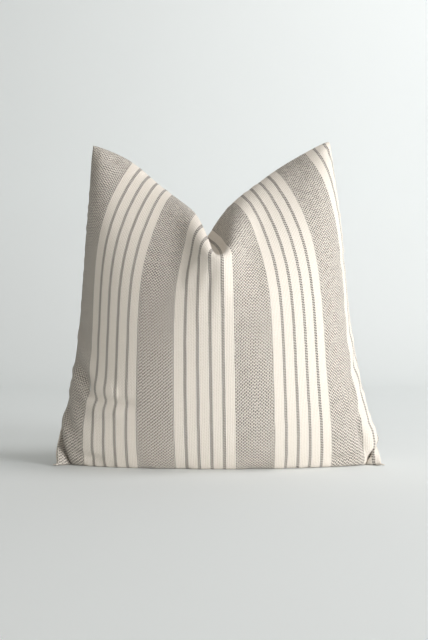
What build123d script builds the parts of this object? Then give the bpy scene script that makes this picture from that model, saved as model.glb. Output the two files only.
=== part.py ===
from build123d import *
import math
import os

# Square knife-edge throw pillow, 20 in (508 mm) cut size, standing on its
# zipped bottom edge with the top edge dented in the middle (a "chop").
# +X is the pillow's left-to-right as seen from the front, the front faces -Y, +Z is up.
# Every layer is one lens-shaped body: sections lie in fan planes that run from a point
# on the bottom seam to a point on the top seam, and are lofted from side to side.

# ---------------------------------------------------------------- driving dimensions
FLAT_SIZE = 508.0          # cut size of one panel between seams
HALF_BOTTOM = 234.0        # half the filled width along the bottom seam
SEAM_DROP = 12.0           # how far the lens would reach below the resting plane
HALF_THICK = 110.0         # half thickness at the fattest point, seam plane to fabric
LEAN_DEG = 8.0             # backward lean of the seam plane
FABRIC = 1.6               # thickness of the woven cover fabric
RIM = 8.0                  # width of the sewn rim (seam allowances folded inside)
INSERT_INSET = 20.0        # insert outline inside the cover outline
SHELL = 1.0                # insert shell fabric
INSERT_BASE = 11.6         # height of the insert's flat underside
# zipper, size 3 nylon coil
CHANNEL_HALF_X = 214.0     # the slot between the two folded hems
CHANNEL_HALF_Y = 6.5
HEM_TOP = 8.0              # folded hems carry the zipper tapes at this height
TAPE_HALF_X = 200.0
TAPE_T = 0.6
TAPE_Y0, TAPE_Y1 = 0.6, 14.0
CHAIN_HALF_X = 190.0
COIL_Y0, COIL_Y1 = 0.45, 2.55
COIL_H = 2.0
SLIDER_X = 183.0           # slider centre when the zipper is closed
SLIDER_L, SLIDER_HALF_W = 12.0, 4.2
PIVOT_Z = 3.2              # axis of the pull tab's hinge
PULL_L = 22.0

# top seam, from the left corner over the dent to the right corner: (share of width, x, z)
TOP = [
    (-1.00, -190.0, 473.5), (-0.94, -173.0, 467.0), (-0.83, -147.0, 456.0), (-0.66, -113.0, 433.0),
    (-0.46, -79.0, 401.0), (-0.28, -46.0, 362.0), (-0.15, -27.0, 333.0),
    (-0.07, -17.0, 320.0), (0.02, -6.0, 333.0), (0.17, 19.0, 373.0),
    (0.36, 52.0, 409.0), (0.56, 89.0, 437.0), (0.77, 127.0, 460.5),
    (0.91, 151.0, 473.0), (1.00, 167.0, 479.5),
]
STEPS_UP = 9               # points along each section's curve


def share(v):
    """Thickness along a section, 0 at both seams and 1 at the fattest height."""
    return v**0.35 * (1.0 - v) ** 0.85 / 0.4838


def outline_points(inset):
    """Bottom and top ends of every section, in the seam plane."""
    ends = []
    for u, xt, zt in TOP:
        bottom = ((HALF_BOTTOM - inset) * u, -SEAM_DROP + 0.3 * inset)
        top = (xt * (1.0 - inset / 188.0), zt - 1.25 * inset)
        ends.append((u, bottom, top))
    return ends


def half_lens(inset, thin, rim, s):
    """One half of a lens body, from the seam plane out to the fabric, as flat facets.
    s is -1 for the front half and 1 for the back; rim is its thickness at the seams."""
    grid = []
    for u, bottom, top in outline_points(inset):
        full = (HALF_THICK - thin) * max(0.0, 1.0 - u * u) ** 0.65
        row = []
        for i in range(STEPS_UP + 1):
            v = 0.5 - 0.5 * math.cos(math.pi * i / STEPS_UP)
            x = bottom[0] + (top[0] - bottom[0]) * v
            z = bottom[1] + (top[1] - bottom[1]) * v
            row.append((x, s * (rim + full * share(v)), z))
        grid.append(row)
    faces = []
    n, m = len(grid), STEPS_UP + 1
    for i in range(n - 1):
        for j in range(m - 1):
            a, b, c, d = grid[i][j], grid[i + 1][j], grid[i + 1][j + 1], grid[i][j + 1]
            for tri in ((a, b, c), (a, c, d)):
                faces.append(Face(Wire.make_polygon(tri, close=True)))
    edge = [grid[0][j] for j in range(m)] + [grid[i][m - 1] for i in range(1, n)]
    edge += [grid[n - 1][j] for j in range(m - 2, -1, -1)] + [grid[i][0] for i in range(n - 2, 0, -1)]
    for k in range(len(edge)):
        p, q = edge[k], edge[(k + 1) % len(edge)]
        faces.append(Face(Wire.make_polygon((p, q, (q[0], 0.0, q[2]), (p[0], 0.0, p[2])), close=True)))
    faces.append(Face(Wire.make_polygon([(p[0], 0.0, p[2]) for p in edge], close=True)))
    solid = Solid(Shell(faces))
    if solid.volume < 0:
        solid = Solid(Shell([-f for f in faces]))
    return leaned(solid)


def leaned(shape):
    """From the upright seam plane to the leaning one."""
    return shape.rotate(Axis.X, -LEAN_DEG)


def above(shape, z):
    return shape & Pos(0, 0, z + 400) * Box(1200, 1200, 800)


def seam_band(inset, half_width, half_thick, z_start):
    """A strip in the seam plane that follows the left side, the dented top and the right side."""
    side = []
    points = [((HALF_BOTTOM - inset) * -1.0, -SEAM_DROP + 0.3 * inset)]
    points += [(x * (1.0 - inset / 188.0), z - 1.25 * inset) for _, x, z in TOP]
    points += [((HALF_BOTTOM - inset), -SEAM_DROP + 0.3 * inset)]

    def at_height(p, q, z):
        t = (z - p[1]) / (q[1] - p[1])
        return (p[0] + (q[0] - p[0]) * t, z)

    points[0] = at_height(points[0], points[1], z_start)
    points[-1] = at_height(points[-1], points[-2], z_start)
    for sign in (1, -1):
        line = []
        for i, p in enumerate(points):
            a = points[max(i - 1, 0)]
            b = points[min(i + 1, len(points) - 1)]
            d1 = (p[0] - a[0], p[1] - a[1])
            d2 = (b[0] - p[0], b[1] - p[1])
            n = [0.0, 0.0]
            for d in (d1, d2):
                length = math.hypot(*d)
                if length > 1e-9:
                    n[0] += -d[1] / length
                    n[1] += d[0] / length
            size = math.hypot(*n)
            n = (n[0] / size, n[1] / size)
            d = d2 if math.hypot(*d2) > 1e-9 else d1
            length = math.hypot(*d)
            cosine = max(0.35, abs(n[0] * -d[1] / length + n[1] * d[0] / length))
            k = sign * half_width / cosine
            line.append((p[0] + n[0] * k, p[1] + n[1] * k))
        side.append(line)
    outline = side[0] + side[1][::-1]
    wire = Wire.make_polygon([(x, -half_thick, z) for x, z in outline], close=True)
    return leaned(Solid.extrude(Face(wire), Vector(0, 2 * half_thick, 0)))


def bar(x0, x1, y0, y1, z0, z1):
    return Pos((x0 + x1) / 2, (y0 + y1) / 2, (z0 + z1) / 2) * Box(
        abs(x1 - x0), abs(y1 - y0), abs(z1 - z0)
    )


parts = {}

# ---------------------------------------------------------------- cover
thread_groove = seam_band(4.5, 0.8, 0.7, 6.0)
slot = bar(-CHANNEL_HALF_X, CHANNEL_HALF_X, -CHANNEL_HALF_Y, CHANNEL_HALF_Y, -1, FABRIC + 8)
outer_box = None
for name, s in (("cover_front_panel", -1), ("cover_back_panel", 1)):
    outer = above(half_lens(0.0, 0.0, FABRIC, s), 0.0)
    hollow = above(half_lens(RIM, FABRIC + 0.1, 0.9, s), FABRIC)
    # the hem turns up beside the slot, then folds away from it under the tape
    wall = bar(-CHANNEL_HALF_X, CHANNEL_HALF_X, s * CHANNEL_HALF_Y, s * (CHANNEL_HALF_Y + FABRIC), 0, HEM_TOP)
    fold = bar(-198, 198, s * CHANNEL_HALF_Y, s * 15.0, HEM_TOP - FABRIC, HEM_TOP)
    parts[name] = (outer - hollow) - slot - thread_groove + wall + fold
    box = outer.bounding_box()
    outer_box = box if outer_box is None else outer_box.add(box)
parts["cover_seam_thread"] = seam_band(4.5, 0.4, 0.4, 6.5)
parts["seam_overlock_thread"] = seam_band(11.5, 1.0, 0.25, 16.0)

# ---------------------------------------------------------------- zipper
for name, s in (("front", -1), ("back", 1)):
    parts["zipper_tape_" + name] = bar(-TAPE_HALF_X, TAPE_HALF_X, s * TAPE_Y0, s * TAPE_Y1, HEM_TOP, HEM_TOP + TAPE_T)
    parts["zipper_coil_" + name] = bar(-CHAIN_HALF_X, CHAIN_HALF_X, s * COIL_Y0, s * COIL_Y1, HEM_TOP - COIL_H, HEM_TOP)
    parts["zipper_stitching_" + name] = bar(-194, 194, s * 11.0, s * 11.5, HEM_TOP + TAPE_T, HEM_TOP + TAPE_T + 0.5)
parts["zipper_bottom_stop"] = bar(-CHAIN_HALF_X - 3.2, -CHAIN_HALF_X, -3.0, 3.0, HEM_TOP - COIL_H - 0.4, HEM_TOP)
stops = [bar(CHAIN_HALF_X, CHAIN_HALF_X + 3.0, s * COIL_Y0, s * 3.0, HEM_TOP - COIL_H - 0.4, HEM_TOP) for s in (-1, 1)]
parts["zipper_top_stops"] = stops

# slider: two plates joined by a post between the coils, side guides round the coils,
# and an arched bail below that carries the pull tab
x0, x1 = SLIDER_X - SLIDER_L / 2, SLIDER_X + SLIDER_L / 2
W = SLIDER_HALF_W


def plate(z0, z1):
    """The slider's plate, wider at its mouth than at its tail."""
    outline = [(x0, -W + 0.9), (x1 - 4.5, -W), (x1 - 1.2, -W), (x1, -W + 1.2),
               (x1, W - 1.2), (x1 - 1.2, W), (x1 - 4.5, W), (x0, W - 0.9)]
    return Solid.extrude(Face(Wire.make_polygon([(x, y, z0) for x, y in outline], close=True)), Vector(0, 0, z1 - z0))


lower = plate(4.7, 5.7)
upper = plate(HEM_TOP + TAPE_T + 0.3, HEM_TOP + TAPE_T + 1.1)
guides = [bar(x0 + 0.6, x1 - 1.4, s * 2.85, s * 3.3, 5.7, 7.6) for s in (-1, 1)]
post = bar(x1 - 5.0, x1 - 1.4, -0.32, 0.32, 5.7, HEM_TOP + TAPE_T + 0.3)
pivot_x = SLIDER_X - 2.0
bail = bar(pivot_x - 3.0, pivot_x + 3.0, -0.9, 0.9, PIVOT_Z - 1.9, 4.7) - bar(
    pivot_x - 1.5, pivot_x + 1.5, -1.0, 1.0, PIVOT_Z - 1.0, 4.7
)
slider = lower + upper + guides[0] + guides[1] + post + bail
parts["zipper_slider"] = slider

# pull tab: a flat drop shape with an eye; its crossbar lies inside the bail's arch and the
# bail's arch passes through the eye, so the tab turns about a line across the slider
TAB_T = 0.9
TAB = [
    (0.5, -2.3), (0.5, 2.3), (-3.0, 2.5), (-PULL_L + 4.0, 3.0), (-PULL_L + 1.3, 2.3),
    (-PULL_L, 1.0), (-PULL_L, -1.0), (-PULL_L + 1.3, -2.3), (-PULL_L + 4.0, -3.0), (-3.0, -2.5),
]
tab = Solid.extrude(
    Face(Wire.make_polygon([(pivot_x + x, y, PIVOT_Z - TAB_T / 2) for x, y in TAB], close=True)),
    Vector(0, 0, TAB_T),
)
tab = tab - bar(pivot_x - 6.5, pivot_x - 0.5, -1.3, 1.3, PIVOT_Z - 2, PIVOT_Z + 2)
tab = tab - bar(pivot_x - 17.5, pivot_x - 9.5, -1.4, 1.4, PIVOT_Z - 2, PIVOT_Z + 2)
parts["zipper_pull_tab"] = tab

# ---------------------------------------------------------------- insert
insert_groove = seam_band(INSERT_INSET + 1.8, 0.5, 0.5, 18.0)
halves = []
for name, s in (("insert_front_panel", -1), ("insert_back_panel", 1)):
    outer = above(half_lens(INSERT_INSET, 3.2, 0.7, s), INSERT_BASE)
    inner = above(half_lens(INSERT_INSET + 4.0, 3.2 + SHELL + 0.1, 0.3, s), INSERT_BASE + SHELL)
    parts[name] = outer - inner - insert_groove
    halves.append(above(half_lens(INSERT_INSET + 4.8, 3.2 + SHELL + 0.6, 0.1, s), INSERT_BASE + SHELL + 0.2))
parts["insert_fill"] = halves[0] + halves[1]
parts["insert_seam_thread"] = seam_band(INSERT_INSET + 1.8, 0.3, 0.3, 18.5)

# ---------------------------------------------------------------- labels and hand stitches
parts["care_label"] = bar(-110, -72, -41, -11.7, HEM_TOP + TAPE_T, HEM_TOP + TAPE_T + 0.25)
parts["insert_label"] = bar(70, 118, 4, 34, INSERT_BASE - 0.3, INSERT_BASE)
stitches = [
    bar(x, x + 3.4, 1.35, 1.85, INSERT_BASE - 0.5, INSERT_BASE)
    for x in [-80 + 5 * k for k in range(29)]
]
parts["insert_closing_stitches"] = stitches

# ---------------------------------------------------------------- origin and export
# origin: the middle of the whole pillow's footprint box, on the resting plane
box = outer_box
dx, dy = -(box.min.X + box.max.X) / 2, -(box.min.Y + box.max.Y) / 2
print("shift", round(dx, 3), round(dy, 3), "outer box", box.min, box.max)
print("pivot", pivot_x + dx, dy, PIVOT_Z)
os.makedirs("parts", exist_ok=True)
for name, shape in parts.items():
    place = Location((dx, dy, 0))
    if isinstance(shape, list):
        moved = Compound([one.moved(place) for one in shape])
    else:
        moved = shape.moved(place)
    export_step(moved, "parts/" + name + ".step")
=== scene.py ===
import math

import bmesh
import bpy
import numpy as np
from mathutils import Matrix, Vector


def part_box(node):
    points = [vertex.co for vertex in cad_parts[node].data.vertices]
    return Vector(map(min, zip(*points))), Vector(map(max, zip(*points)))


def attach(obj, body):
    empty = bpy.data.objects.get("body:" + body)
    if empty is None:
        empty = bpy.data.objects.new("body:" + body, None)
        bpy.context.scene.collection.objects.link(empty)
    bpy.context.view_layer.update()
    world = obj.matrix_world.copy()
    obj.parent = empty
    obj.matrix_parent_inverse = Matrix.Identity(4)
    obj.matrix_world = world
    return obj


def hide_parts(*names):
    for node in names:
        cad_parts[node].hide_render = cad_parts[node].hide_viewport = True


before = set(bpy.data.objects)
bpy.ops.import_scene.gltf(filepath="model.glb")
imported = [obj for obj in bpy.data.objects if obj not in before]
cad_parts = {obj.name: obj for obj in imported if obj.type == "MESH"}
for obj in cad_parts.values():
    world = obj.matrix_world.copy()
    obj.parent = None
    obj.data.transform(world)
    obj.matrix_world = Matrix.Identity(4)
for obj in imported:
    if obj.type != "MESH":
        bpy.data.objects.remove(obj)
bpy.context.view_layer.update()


NODE_BOX = {name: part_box(name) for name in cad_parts}
SLIDER_BOX = NODE_BOX["zipper_slider"]
TAB_X0 = NODE_BOX["zipper_pull_tab"][0][0] * 1000 - 181.269
TAB_X1 = NODE_BOX["zipper_pull_tab"][1][0] * 1000 - 181.269

# ---------------------------------------------------------------- the sewn pillow, simulated
FLAT = 508.0           # mm, one panel between its seams
BASE_Y = -12.6         # mm, line of the zipper on the resting plane
CLOTH = 0.8            # mm, half of the fabric's thickness


def grid_normals(p):
    """Area-weighted normals of a (M, M, 3) grid, not unit length."""
    du = np.empty_like(p)
    dv = np.empty_like(p)
    du[1:-1] = (p[2:] - p[:-2]) * 0.5
    du[0] = p[1] - p[0]
    du[-1] = p[-1] - p[-2]
    dv[:, 1:-1] = (p[:, 2:] - p[:, :-2]) * 0.5
    dv[:, 0] = p[:, 1] - p[:, 0]
    dv[:, -1] = p[:, -1] - p[:, -2]
    return np.cross(du, dv)


def upsample(q, n):
    """Resample a (2, M, M, 3) state to n cells a side with smooth (Catmull-Rom) weights."""
    for axis in (1, 2):
        m = q.shape[axis]
        x = np.linspace(0, m - 1, n + 1)
        i = np.clip(np.floor(x).astype(int), 0, m - 2)
        f = x - i
        idx = [np.clip(i + k, 0, m - 1) for k in (-1, 0, 1, 2)]
        w = [
            -0.5 * f**3 + f**2 - 0.5 * f,
            1.5 * f**3 - 2.5 * f**2 + 1,
            -1.5 * f**3 + 2 * f**2 + 0.5 * f,
            0.5 * f**3 - 0.5 * f**2,
        ]
        shape = [1, 1, 1, 1]
        shape[axis] = n + 1
        out = 0
        for k in range(4):
            out = out + np.take(q, idx[k], axis=axis) * w[k].reshape(shape)
        q = out
    return q


def pins(n, t, par):
    """Held points at time t (0 flat .. 1 final): arrays (panel, i, j), positions."""
    a = np.linspace(0.0, 1.0, n + 1)
    rows = []
    # bottom seam: straight along the zipper, corners curling forward
    xf = par["bottom_half"] * (2 * a - 1)
    x0 = FLAT * (a - 0.5)
    x = x0 + (xf - x0) * t
    edge = np.clip((np.abs(2 * a - 1) - 0.86) / 0.14, 0, 1)
    gap = 6.5 * (1 - np.clip((np.abs(2 * a - 1) - 0.84) / 0.10, 0, 1))
    y = BASE_Y - par["curl"] * edge**1.5 * t
    z = CLOTH + par["lift"] * edge**2 * t
    for side, s in ((0, -1), (1, 1)):
        for i in range(n + 1):
            rows.append((side, i, 0, x[i], y[i] + s * gap[i], z[i]))
    def mix(p, q):
        return [p[k] + (q[k] - p[k]) * t for k in range(3)]
    for i, key, flat in ((0, "tl", (-254.0, BASE_Y + 60, 508.0)), (n, "tr", (254.0, BASE_Y + 60, 508.0))):
        c = mix(flat, par[key])
        for side in (0, 1):
            rows.append((side, i, n, *c))
    return rows


def along(points, f):
    """Positions at fractions f of the length of a polyline, smoothed by Catmull-Rom."""
    p = np.asarray(points, float)
    m = len(p)
    fine = []
    for i in range(m - 1):
        a, b, c, d = p[max(i - 1, 0)], p[i], p[i + 1], p[min(i + 2, m - 1)]
        for t in np.linspace(0, 1, 12, endpoint=False):
            fine.append(0.5 * (2 * b + (c - a) * t + (2 * a - 5 * b + 4 * c - d) * t * t + (3 * b - a - 3 * c + d) * t**3))
    fine = np.array(fine + [p[-1]])
    d = np.concatenate([[0], np.cumsum(np.linalg.norm(np.diff(fine, axis=0), axis=1))])
    return np.stack([np.interp(f, d / d[-1], fine[:, k]) for k in range(3)], -1)


def seam_guides(n, par):
    """(slice, goal positions, weights) for the left, right and top seams."""
    a = np.linspace(0, 1, n + 1)
    out = []
    fade = np.clip(np.minimum(a, 1 - a) / 0.06, 0, 1)
    out.append(((0, slice(None)), along(par["left_line"], a), par["side_k"] * fade))
    out.append(((n, slice(None)), along(par["right_line"], a), par["side_k"] * fade))
    c = par["notch_s"] / FLAT
    lt = along(par["arm_left"], np.clip(a / c, 0, 1))
    rt = along(par["arm_right"], np.clip((a - c) / (1 - c), 0, 1))
    goal = np.where((a < c)[:, None], lt, rt)
    near = np.exp(-(((a - c) * FLAT) / par["notch_w"]) ** 2)
    out.append(((slice(None), n), goal, np.maximum(near * par["notch_k"], par["arm_k"] * fade)))
    return out


def simulate(par, levels, log=None):
    rng = np.random.default_rng(7)
    n = levels[0][0]
    a = np.linspace(0, 1, n + 1)
    u, v = np.meshgrid(a, a, indexing="ij")
    dome = np.sin(np.pi * u) ** 0.7 * np.sin(np.pi * v) ** 0.7
    q = np.empty((2, n + 1, n + 1, 3))
    for side, s in ((0, -1), (1, 1)):
        q[side, ..., 0] = FLAT * (u - 0.5)
        q[side, ..., 1] = BASE_Y + v * 60 + s * (25 * dome)
        q[side, ..., 2] = v * 500 + CLOTH
    q[..., 1] += rng.normal(0, 0.4, q.shape[:-1])
    t0 = 0.0
    for level, (n, steps, ramp, iters) in enumerate(levels):
        if level:
            q = upsample(q, n)
        h = FLAT / n
        prev = q.copy()
        m = n + 1
        jj = np.linspace(0, 1, m)[None, None, :, None]
        ii = np.linspace(0, 1, m)[None, :, None, None]
        free = np.ones((2, m, m, 1))
        guides = seam_guides(n, par)
        on_floor = (jj[0, ..., 0] * FLAT <= par["foot"](ii[0, ..., 0]))[None].astype(float)
        bend = par["bend"] * (60.0 / n) ** 0.0
        dpx = par["pressure"] * (h / 8.0) ** 2 / (h / 8.0)
        for step in range(steps):
            if ramp:
                t = t0 + (1.0 - t0) * min(1.0, (step + 1) / (ramp * steps))
            else:
                t = 1.0
            ease = t * t * (3 - 2 * t)
            rows = pins(n, ease, par)
            ps = np.array([r[:3] for r in rows]).T.astype(int)
            pv = np.array([r[3:] for r in rows])
            # predict
            vel = (q - prev) * par["keep"]
            speed = np.linalg.norm(vel, axis=-1, keepdims=True)
            vel *= np.minimum(1.0, 0.5 * h / np.maximum(speed, 1e-9))
            prev = q.copy()
            z = q[..., 2:3]
            press = par["press_fn"](z, ease)
            nf = grid_normals(q[0])
            nb = grid_normals(q[1])
            area = h * h
            force = np.stack([nf, -nb]) / area
            thick = np.linalg.norm(q[1] - q[0], axis=-1)
            fullness = np.clip(1.6 * (1.0 - thick / (par["thick_fn"](ii[0, ..., 0], jj[0, ..., 0]) + 1e-6)), par["suck"], 1.0)
            press = press * fullness[None, ..., None]
            # pillow's front faces -y: du x dv points to -y for (x right, z up)
            scale = (h / (FLAT / 36)) ** 2
            q = q + vel + force * (press * par["pressure"] * scale) + np.array([0, 0, -par["gravity"] * scale])
            for it in range(iters):
                for ax, rest in ((1, h), (2, h)):
                    for p in (0, 1):
                        sl_a = [slice(None)] * 4
                        sl_b = [slice(None)] * 4
                        sl_a[ax] = slice(p, n, 2)
                        sl_b[ax] = slice(p + 1, n + 1, 2)
                        A = q[tuple(sl_a)]
                        B = q[tuple(sl_b)]
                        d = B - A
                        L = np.sqrt((d * d).sum(-1, keepdims=True)) + 1e-9
                        c = (L - rest) / L
                        c = np.where(c > 0, c * 0.5 * par["k_stretch"], c * 0.5 * par["k_comp"])
                        d *= c
                        q[tuple(sl_a)] = A + d
                        q[tuple(sl_b)] = B - d
                rest = h * 2**0.5
                for flip in (0, 1):
                    w = q[:, :, ::-1] if flip else q
                    for p in (0, 1):
                        A = w[:, p:n:2, :-1]
                        B = w[:, p + 1 : n + 1 : 2, 1:]
                        d = B - A
                        L = np.sqrt((d * d).sum(-1, keepdims=True)) + 1e-9
                        c = (L - rest) / L
                        c = np.where(c > 0, c * 0.5 * par["k_shear"], c * 0.5 * par["k_shear_c"])
                        d *= c
                        w[:, p:n:2, :-1] = A + d
                        w[:, p + 1 : n + 1 : 2, 1:] = B - d
                # bending: second differences
                for ax in (1, 2):
                    s0 = [slice(None)] * 4
                    s1 = [slice(None)] * 4
                    s2 = [slice(None)] * 4
                    s0[ax] = slice(0, m - 2)
                    s1[ax] = slice(1, m - 1)
                    s2[ax] = slice(2, m)
                    s0, s1, s2 = tuple(s0), tuple(s1), tuple(s2)
                    c = (q[s0] + q[s2]) * 0.5 - q[s1]
                    c *= bend
                    q[s1] += c * 0.5
                    q[s0] -= c * 0.25
                    q[s2] -= c * 0.25
                # seam: both panels share it, except along the zipper
                for sl in ((0, slice(None)), (n, slice(None)), (slice(None), n)):
                    avg = 0.5 * (q[(0,) + sl] + q[(1,) + sl])
                    q[(0,) + sl] = avg
                    q[(1,) + sl] = avg
                # seam allowance: the seam line resists kinks
                for sl in ((0, slice(None)), (n, slice(None)), (slice(None), n)):
                    e = q[(0,) + sl]
                    c = (e[:-2] + e[2:]) * 0.5 - e[1:-1]
                    c = c * par["seam_bend"]
                    e2 = e.copy()
                    e2[1:-1] += c * 0.5
                    e2[:-2] -= c * 0.25
                    e2[2:] -= c * 0.25
                    q[(0,) + sl] = e2
                    q[(1,) + sl] = e2
                # the dent in the top seam, and the run of the three free seams
                for sl, goal, weight in guides:
                    k = (weight * ease)[:, None]
                    for side in (0, 1):
                        q[(side,) + sl] += (goal - q[(side,) + sl]) * k
                # front stays in front of back
                gap = q[1, ..., 1] - q[0, ..., 1]
                bad = np.maximum(0, par["min_gap"](ii[0, ..., 0], jj[0, ..., 0]) - gap) * 0.5
                q[0, ..., 1] -= bad
                q[1, ..., 1] += bad
                down = on_floor * (0.35 * ease)
                q[..., 2] += (CLOTH - q[..., 2]) * down
                np.maximum(q[..., 2], CLOTH, out=q[..., 2])
                wall = BASE_Y + q[1, ..., 2] * 0.1405 + par["wall"]
                q[1, ..., 1] -= np.maximum(0, q[1, ..., 1] - wall) * 0.8
                q[ps[0], ps[1], ps[2]] = pv
            # floor friction: what touches keeps its place sideways
            touch = (q[..., 2:3] <= CLOTH + 0.01)
            q[..., :2] = np.where(touch, prev[..., :2] + (q[..., :2] - prev[..., :2]) * 0.5, q[..., :2])
            q[ps[0], ps[1], ps[2]] = pv
        t0 = 1.0
        if log:
            log(level, n, q)
    return q


def min_gap(u, v):
    e = np.minimum(np.minimum(u, 1 - u), np.minimum(v, 1 - v))
    return 2 * CLOTH * np.clip(e * 20, 0, 1)


def press_fn(z, t):
    return 1.0 + 1.3 * np.clip(1 - z / 140.0, 0, 1) - 0.45 * np.clip(z / 470.0, 0, 1)


TMAX = 262.0


def thick_fn(u, v):
    a = np.clip(4 * u * (1 - u), 0, 1) ** 0.42
    b = np.clip(4 * (v + 0.06) / 1.06 * (1 - v), 0, 1) ** 0.35
    dent = np.exp(-(((u - 0.484) / 0.10) ** 2)) * np.exp(-((np.maximum(0, 0.97 - v) / 0.13) ** 2))
    return TMAX * a * b * (1.14 - 0.40 * v) * (1 - DENT * dent) + 8.0


DENT = 0.8


def foot(u):
    """How far the underside reaches on each side of the bottom seam, in mm of fabric."""
    return 60.0 * np.clip(1 - np.abs(2 * u - 1) ** 2.2, 0, 1) ** 0.8


def lean(x, z, back=0.0):
    return (x, BASE_Y + z * 0.1405 + back, z)


TL = lean(-190.0, 469.0)
TR = lean(167.0, 475.0)
BL = (-233.0, BASE_Y - 42.0, 2.3)
BR = (233.0, BASE_Y - 42.0, 2.3)
NOTCH = lean(-7.0, 303.0, -6.0)
PAR = {
    "left_line": [BL, lean(-227, 45, -18), lean(-215, 103, -5), lean(-205, 191), lean(-197, 311), TL],
    "right_line": [BR, lean(221, 38, -18), lean(206, 118, -5), lean(195, 190), lean(187, 260), lean(178, 386), TR],
    "arm_left": [TL, lean(-138, 449, 8), lean(-88, 406, 11), lean(-48, 357, 11), lean(-23.0, 325, 7), NOTCH],
    "arm_right": [NOTCH, lean(3.0, 330, 3), lean(16, 360), lean(45, 397), lean(87, 431), lean(142, 464), TR],
    "side_k": 0.12, "arm_k": 0.12, "notch_k": 0.5, "notch_w": 12.0, "notch_s": 247.0,
    "tl": TL, "tr": TR, "wall": 90.0, "foot": foot,
    "bottom_half": 233.0, "curl": 42.0, "lift": 1.5,
    "thick_fn": thick_fn, "suck": -0.5, "min_gap": min_gap, "press_fn": press_fn,
    "pressure": 0.9, "gravity": 0.02, "keep": 0.92,
    "k_stretch": 1.0, "k_comp": 0.5, "k_shear": 0.2, "k_shear_c": 0.08, "bend": 0.12, "seam_bend": 0.25,
}
LEVELS = ((36, 420, 0.6, 10), (72, 160, 0, 12), (120, 90, 0, 14))

BAND_T = 470.0
SIM = simulate(PAR, LEVELS)
# ---------------------------------------------------------------- node helpers
class Nodes:
    """A small layer over a node tree, so that formulas read like formulas."""

    def __init__(self, name):
        self.mat = bpy.data.materials.new(name)
        self.mat.use_nodes = True
        self.tree = self.mat.node_tree
        self.tree.nodes.clear()
        self.out = self.tree.nodes.new("ShaderNodeOutputMaterial")

    def node(self, kind, **props):
        n = self.tree.nodes.new(kind)
        for k, v in props.items():
            setattr(n, k, v)
        return n

    def put(self, socket, value):
        if isinstance(value, bpy.types.NodeSocket):
            self.tree.links.new(value, socket)
        elif value is not None:
            socket.default_value = value

    def math(self, op, a, b=None, c=None, clamp=False):
        n = self.node("ShaderNodeMath", operation=op, use_clamp=clamp)
        for s, v in zip(n.inputs, (a, b, c)):
            self.put(s, v)
        return n.outputs[0]

    def mix(self, f, a, b):
        n = self.node("ShaderNodeMix", data_type="RGBA")
        self.put(n.inputs["Factor"], f)
        self.put(n.inputs[6], a)
        self.put(n.inputs[7], b)
        return n.outputs[2]

    def mixf(self, f, a, b):
        n = self.node("ShaderNodeMix", data_type="FLOAT")
        self.put(n.inputs["Factor"], f)
        self.put(n.inputs[2], a)
        self.put(n.inputs[3], b)
        return n.outputs[0]

    def noise(self, vector, scale, detail=2.0, rough=0.5):
        n = self.node("ShaderNodeTexNoise")
        self.put(n.inputs["Vector"], vector)
        n.inputs["Scale"].default_value = scale
        n.inputs["Detail"].default_value = detail
        n.inputs["Roughness"].default_value = rough
        return n.outputs["Fac"]

    def smooth(self, x, lo, hi):
        n = self.node("ShaderNodeMapRange", interpolation_type="SMOOTHSTEP")
        self.put(n.inputs["Value"], x)
        n.inputs["From Min"].default_value = lo
        n.inputs["From Max"].default_value = hi
        n.inputs["To Min"].default_value = 0.0
        n.inputs["To Max"].default_value = 1.0
        return n.outputs[0]

    def pulse(self, x, lo, hi, soft):
        """1 between lo and hi, with soft edges."""
        return self.math("MULTIPLY", self.smooth(x, lo - soft, lo + soft),
                         self.math("SUBTRACT", 1.0, self.smooth(x, hi - soft, hi + soft)))

    def bsdf(self, color, rough, normal=None, **sockets):
        n = self.node("ShaderNodeBsdfPrincipled")
        self.put(n.inputs["Base Color"], color)
        self.put(n.inputs["Roughness"], rough)
        if normal is not None:
            self.put(n.inputs["Normal"], normal)
        for k, v in sockets.items():
            self.put(n.inputs[k.replace("_", " ")], v)
        self.tree.links.new(n.outputs[0], self.out.inputs["Surface"])
        return n

    def bump(self, height, strength, distance, normal=None):
        n = self.node("ShaderNodeBump")
        n.inputs["Strength"].default_value = strength
        n.inputs["Distance"].default_value = distance
        self.put(n.inputs["Height"], height)
        if normal is not None:
            self.put(n.inputs["Normal"], normal)
        return n.outputs[0]


def lin(r, g, b):
    """An sRGB colour given 0 to 255, as linear RGBA."""
    f = lambda c: (c / 255 / 12.92) if c <= 10.31 else ((c / 255 + 0.055) / 1.055) ** 2.4
    return (f(r), f(g), f(b), 1.0)


CREAM = lin(241, 235, 227)
CREAM_LOW = lin(221, 212, 199)
DARK = lin(66, 60, 57)
DARK_LOW = lin(28, 26, 26)
COL, DASH = 2.3, 4.3            # mm, pitch of the warp columns and of the floats along them


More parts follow.
